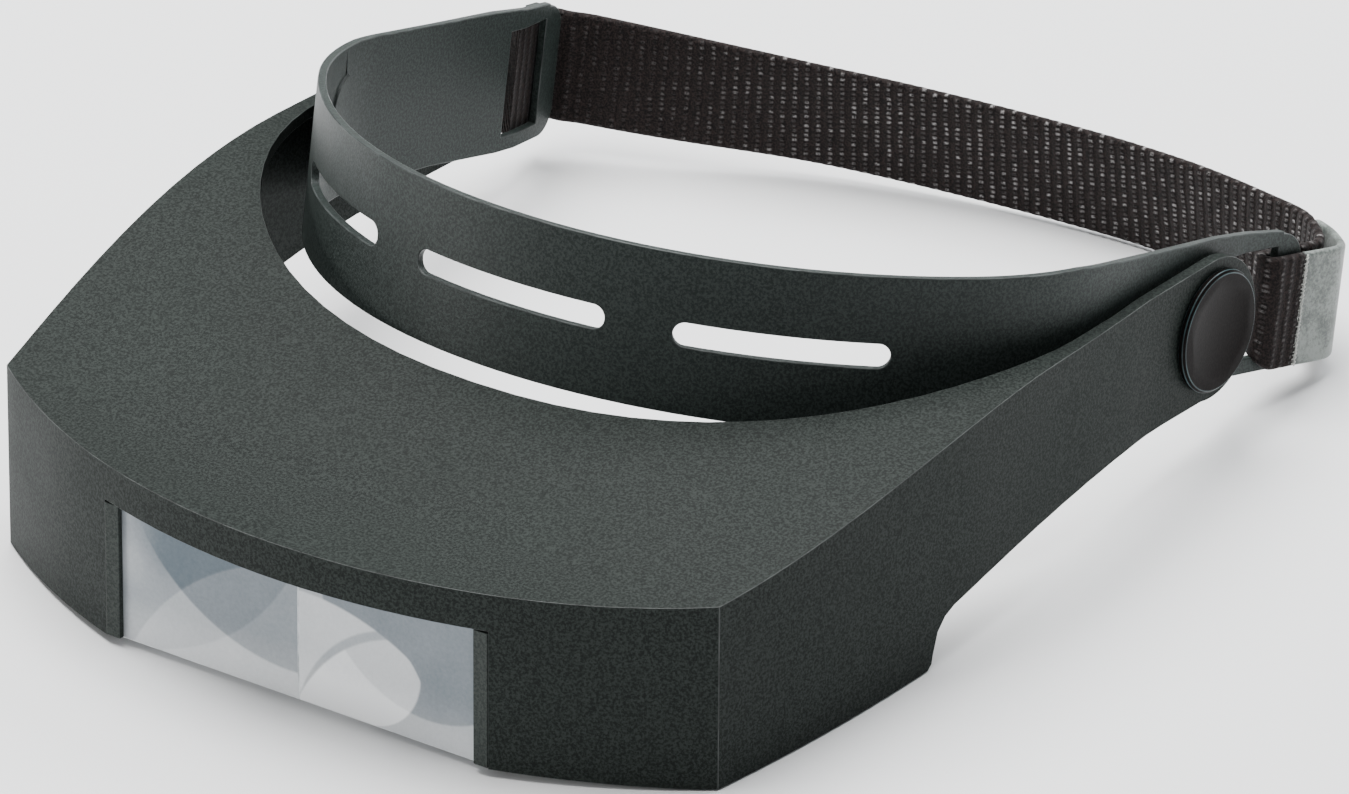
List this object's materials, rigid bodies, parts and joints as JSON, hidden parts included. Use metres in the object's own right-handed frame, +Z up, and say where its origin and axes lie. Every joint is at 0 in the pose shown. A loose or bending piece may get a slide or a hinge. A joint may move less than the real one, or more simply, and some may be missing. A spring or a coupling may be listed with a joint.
{
  "type": "head visor magnifier",
  "caption": "Head-worn magnifier: tilting visor shell with a flat twin lens in a notch of its front wall, slotted headband, side pivots and an adjustable elastic strap.",
  "frame": {"origin": "middle of the object's bounding box, on the surface it stands on", "axes": "+X towards the wearer's left, -Y is the visor's front, +Y the back of the head, +Z up from the table"},
  "size_m": [0.1705, 0.2157, 0.0652],
  "materials": {
    "shell": "fine moulded grain, dark green-grey",
    "band": "fine moulded grain, dark green-grey",
    "clip": "satin",
    "cover": "satin brown-black",
    "lens": "clear polished acrylic",
    "steel": "zinc plated",
    "nylon": "natural nylon",
    "webbing": "ribbed elastic weave with light flecks",
    "tab": "smooth grey-green moulded hook tape",
    "thread": "pale sewing thread"
  },
  "bodies": {
    "band": {"headband": "band", "friction_washer_left": "nylon", "friction_washer_right": "nylon", "pivot_screw_left": "steel", "pivot_screw_right": "steel", "spring_washer_left": "steel", "spring_washer_right": "steel", "pivot_cover_left": "cover", "pivot_cover_right": "cover", "strap_webbing": "webbing", "strap_hook_tab": "tab", "strap_stitching": "thread", "strap_anchor_clip": "band"},
    "visor": {"visor_shell": "shell", "lens_left": "lens", "lens_right": "lens", "lens_clip_left": "clip", "lens_clip_right": "clip", "arm_bush_left": "nylon", "arm_bush_right": "nylon"}
  },
  "joints": [
    {"name": "visor_tilt", "type": "hinge", "parent": "band", "child": "visor", "pos_m": [0, 0.05286, 0.02406], "axis": [-1, 0, 0], "range_deg": [-8, 80]}
  ]
}
